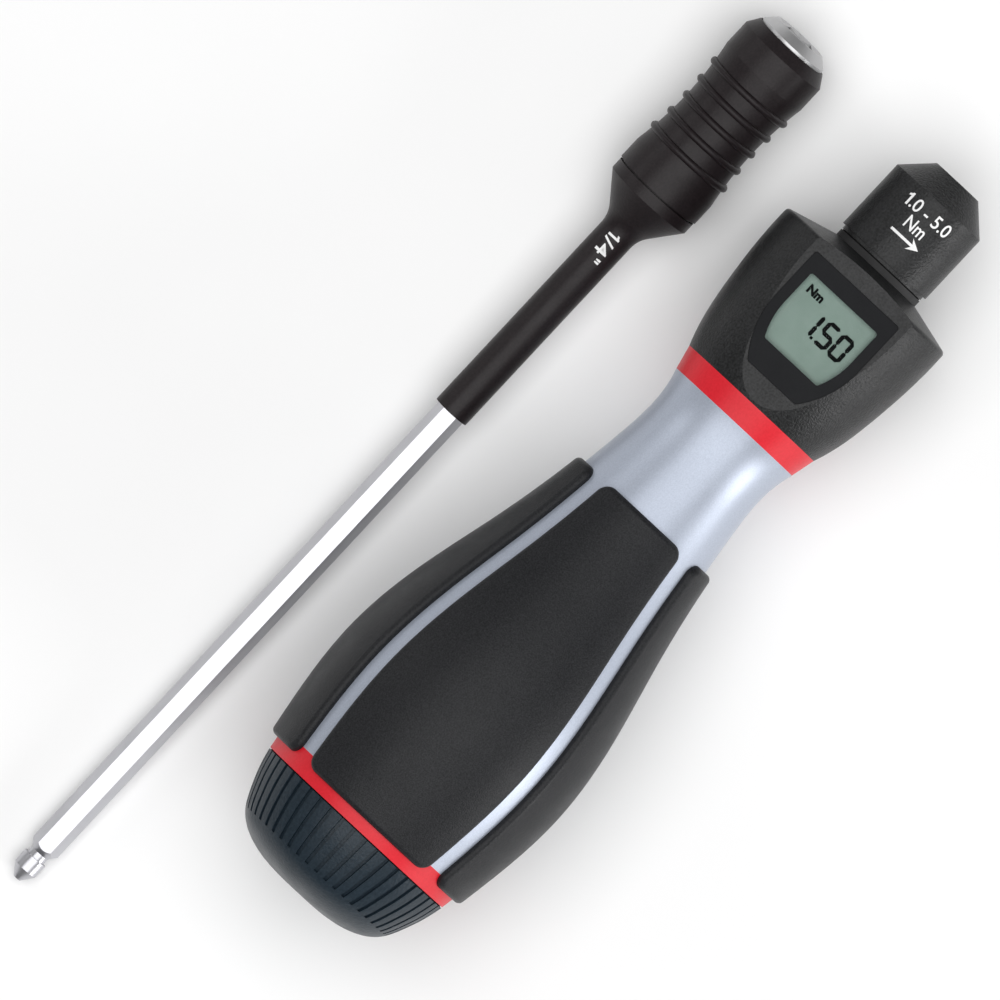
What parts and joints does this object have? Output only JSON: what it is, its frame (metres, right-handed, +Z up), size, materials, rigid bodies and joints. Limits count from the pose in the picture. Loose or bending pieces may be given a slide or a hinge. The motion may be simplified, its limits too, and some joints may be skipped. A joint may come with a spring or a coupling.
{
  "type": "torque screwdriver",
  "caption": "Adjustable torque screwdriver: waisted handle with inlaid soft grips, ribbed setting knob and torque display, beside its hexagon blade with a quick-release bit holder.",
  "frame": {"origin": "on the table, under the middle of the handle and blade as they lie side by side", "axes": "+X along the tools from the setting knob towards the nose, +Y from the handle towards the blade, +Z up, the side that the display faces"},
  "size_m": [0.1642, 0.0576, 0.0403],
  "materials": {
    "silver_plastic": "satin",
    "soft_grip": "fine-grained matte",
    "red_plastic": "gloss",
    "knob_plastic": "satin",
    "head_plastic": "grained matte",
    "display_frame": "smooth satin",
    "display_window": "clear",
    "lcd": "smooth",
    "seal_rubber": "matte",
    "circuit_board": "lacquered",
    "steel": "ground",
    "spring_steel": "drawn",
    "brass": "machined",
    "nickel": "nickel plated",
    "blade_plastic": "satin",
    "sleeve_metal": "dark anodised"
  },
  "bodies": {
    "handle": {"grip_core": "silver_plastic", "grip_front": "soft_grip", "grip_left": "soft_grip", "grip_back": "soft_grip", "grip_right": "soft_grip", "rear_ring": "red_plastic", "front_band": "red_plastic", "head_housing": "head_plastic", "battery_cover": "head_plastic", "display_frame": "display_frame", "display_window": "display_window", "lcd_panel": "lcd", "nose_seal": "seal_rubber", "lcd_connectors": "seal_rubber", "circuit_board": "circuit_board", "sensor_strip": "circuit_board", "clutch_tube": "steel", "thrust_races": "steel", "thrust_balls": "steel", "rear_plate": "steel", "rear_circlip": "steel", "battery_cover_screws": "steel", "battery": "steel", "bit_holder": "steel", "locking_ball": "steel", "bit_magnet": "steel", "main_spring": "spring_steel", "release_spring": "spring_steel", "front_bush": "brass", "rear_thrust_washer": "brass", "battery_contacts": "brass", "blade_shank": "nickel", "blade_sleeve": "blade_plastic"},
    "spindle": {"spindle": "steel", "nose_sleeve": "head_plastic", "spindle_circlip": "steel", "blade_catch_ball": "steel", "blade_catch_ring": "steel"},
    "clutch_plate": {"clutch_plate": "steel", "clutch_balls": "steel", "front_spring_washer": "steel"},
    "knob": {"adjuster_knob": "knob_plastic", "knob_plug": "knob_plastic", "knob_screw": "steel", "knob_o_ring": "seal_rubber", "adjuster_screw": "steel"},
    "spring_nut": {"spring_nut": "brass", "rear_spring_washer": "steel", "sensor_wiper": "brass"},
    "release_sleeve": {"release_sleeve": "sleeve_metal"}
  },
  "joints": [
    {"name": "spindle_turn", "type": "hinge", "parent": "handle", "child": "spindle", "pos_m": [0.06486, -0.00867, 0.01501], "axis": [0.9983, 0, -0.0586], "continuous": true},
    {"name": "clutch_lift", "type": "slide", "parent": "handle", "child": "clutch_plate", "axis": [-0.9983, 0, 0.0586], "range_m": [0, 0.0006], "stiffness_N_per_m": 400, "springref_m": -0.005, "deforming": ["main_spring"]},
    {"name": "knob_turn", "type": "hinge", "parent": "handle", "child": "knob", "pos_m": [-0.05494, -0.00867, 0.02204], "axis": [0.9983, 0, -0.0586], "range_deg": [-360, 2520]},
    {"name": "nut_travel", "type": "slide", "parent": "handle", "child": "spring_nut", "axis": [0.9983, 0, -0.0586], "range_m": [-0.00101, 0.00701], "deforming": ["main_spring"]},
    {"name": "release_slide", "type": "slide", "parent": "handle", "child": "release_sleeve", "axis": [0.9992, 0, 0.0394], "range_m": [0, 0.0028], "stiffness_N_per_m": 260, "springref_m": -0.004, "deforming": ["release_spring"]}
  ],
  "couplings": [
    {"joint": "nut_travel", "follows": "knob_turn", "m_per_rad": 0.00015915}
  ]
}
